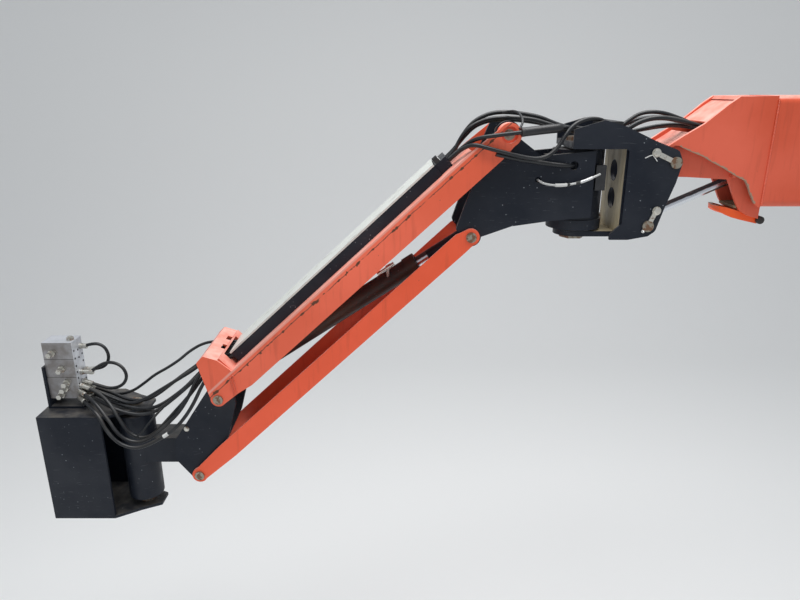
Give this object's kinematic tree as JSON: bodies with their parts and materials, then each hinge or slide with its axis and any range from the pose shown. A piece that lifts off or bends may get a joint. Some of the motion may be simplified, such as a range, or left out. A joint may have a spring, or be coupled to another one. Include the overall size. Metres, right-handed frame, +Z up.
{
  "type": "articulating boom lift jib",
  "caption": "Side-swinging parallelogram jib of a boom lift on its boom end, with levelling knuckle, lift cylinder and rotating platform support.",
  "frame": {"origin": "middle of the lower wall on the cut rear face of the boom stub", "axes": "+X out along the level boom towards the platform, +Z up, +Y to the side the picture is taken from"},
  "size_m": [2.735, 0.3006, 1.4291],
  "materials": {
    "orange_paint": "satin orange machinery paint, chipped along edges",
    "black_paint": "satin black machinery paint with dust",
    "chrome_rod": "polished hard chrome",
    "pin_steel": "greased and lightly rusted steel",
    "lid_sheet": "pale grey sheet",
    "black_plastic": "matt black",
    "cast_aluminium": "milled aluminium, weathered",
    "zinc": "zinc plated",
    "hose_rubber": "matt hose rubber"
  },
  "bodies": {
    "boom_end": {"boom_tube": "orange_paint", "boom_nose": "orange_paint", "nose_guard": "orange_paint", "level_foot_pin": "pin_steel", "nose_saddle": "black_plastic"},
    "level_barrel": {"level_barrel": "black_paint"},
    "level_rod": {"level_rod": "chrome_rod"},
    "knuckle": {"knuckle": "black_paint", "level_pin": "pin_steel", "level_keepers": "zinc", "eye_pin_stubs": "pin_steel", "swing_shaft": "pin_steel", "knuckle_saddle": "black_plastic", "nose_hose": "hose_rubber", "jib_hose_base": "hose_rubber"},
    "jib_base": {"jib_base": "black_paint", "swing_valve": "black_plastic", "upper_arm_pin": "pin_steel", "lower_arm_pins": "pin_steel"},
    "upper_arm": {"upper_arm": "orange_paint", "hose_tray": "black_paint", "tray_lid": "lid_sheet", "tray_clamp": "black_plastic", "hose_hood": "orange_paint", "bracket_pin_upper": "pin_steel", "jib_hose_arm": "hose_rubber", "platform_hose_arm": "hose_rubber"},
    "lower_arm": {"lower_arm": "orange_paint", "bracket_pin_lower": "pin_steel"},
    "lift_barrel": {"lift_barrel": "black_paint"},
    "lift_rod": {"lift_rod": "chrome_rod", "lift_rod_eye": "black_paint"},
    "platform_bracket": {"platform_bracket": "black_paint"},
    "platform_support": {"rotator_shaft": "pin_steel", "platform_support": "black_paint", "valve_mount": "black_paint", "valve_block": "cast_aluminium", "valve_cartridges": "zinc", "platform_hose_end": "hose_rubber"}
  },
  "joints": [
    {"name": "knuckle_level", "type": "hinge", "parent": "boom_end", "child": "knuckle", "pos_m": [0.7, 0, 0.131], "axis": [0, -1, 0], "range_deg": [-75, 15], "deforming": ["nose_hose"]},
    {"name": "level_barrel_tilt", "type": "hinge", "parent": "boom_end", "child": "level_barrel", "pos_m": [0.06, 0, 0.257], "axis": [0, -1, 0], "range_deg": [-4.88, 0.98]},
    {"name": "level_rod_slide", "type": "slide", "parent": "level_barrel", "child": "level_rod", "axis": [0.9121, 0, -0.41], "range_m": [-0.23007, 0.04681]},
    {"name": "jib_swing", "type": "hinge", "parent": "knuckle", "child": "jib_base", "pos_m": [0.9615, 0, 0.131], "axis": [0, 0, 1], "range_deg": [-90, 90], "deforming": ["jib_hose_base"]},
    {"name": "jib_lift", "type": "hinge", "parent": "jib_base", "child": "upper_arm", "pos_m": [1.1976, 0, 0.212], "axis": [0, -1, 0], "range_deg": [-17.3, 112.7], "deforming": ["jib_hose_arm"]},
    {"name": "lower_arm_follow", "type": "hinge", "parent": "jib_base", "child": "lower_arm", "pos_m": [1.29573, 0, -0.09363], "axis": [0, -1, 0], "range_deg": [-17.3, 112.7]},
    {"name": "bracket_level", "type": "hinge", "parent": "upper_arm", "child": "platform_bracket", "pos_m": [2.10889, 0, -0.62892], "axis": [0, -1, 0], "range_deg": [-112.7, 17.3], "deforming": ["platform_hose_arm"]},
    {"name": "lift_barrel_tilt", "type": "hinge", "parent": "upper_arm", "child": "lift_barrel", "pos_m": [2.10889, 0, -0.62892], "axis": [0, -1, 0], "range_deg": [-0.27, 1.7]},
    {"name": "lift_rod_slide", "type": "slide", "parent": "lift_barrel", "child": "lift_rod", "axis": [-0.8353, 0, 0.5498], "range_m": [-0.08494, 0.54782]},
    {"name": "platform_rotate", "type": "hinge", "parent": "platform_bracket", "child": "platform_support", "pos_m": [2.44502, 0, 0.131], "axis": [0, 0, 1], "range_deg": [-90, 90], "deforming": ["platform_hose_end"]}
  ],
  "couplings": [
    {"joint": "level_barrel_tilt", "follows": "knuckle_level", "ratio": 0.065},
    {"joint": "level_rod_slide", "follows": "knuckle_level", "m_per_rad": 0.175},
    {"joint": "lower_arm_follow", "follows": "jib_lift", "ratio": 1},
    {"joint": "bracket_level", "follows": "jib_lift", "ratio": -1},
    {"joint": "lift_barrel_tilt", "follows": "jib_lift", "ratio": 0.015},
    {"joint": "lift_rod_slide", "follows": "jib_lift", "m_per_rad": 0.278}
  ]
}
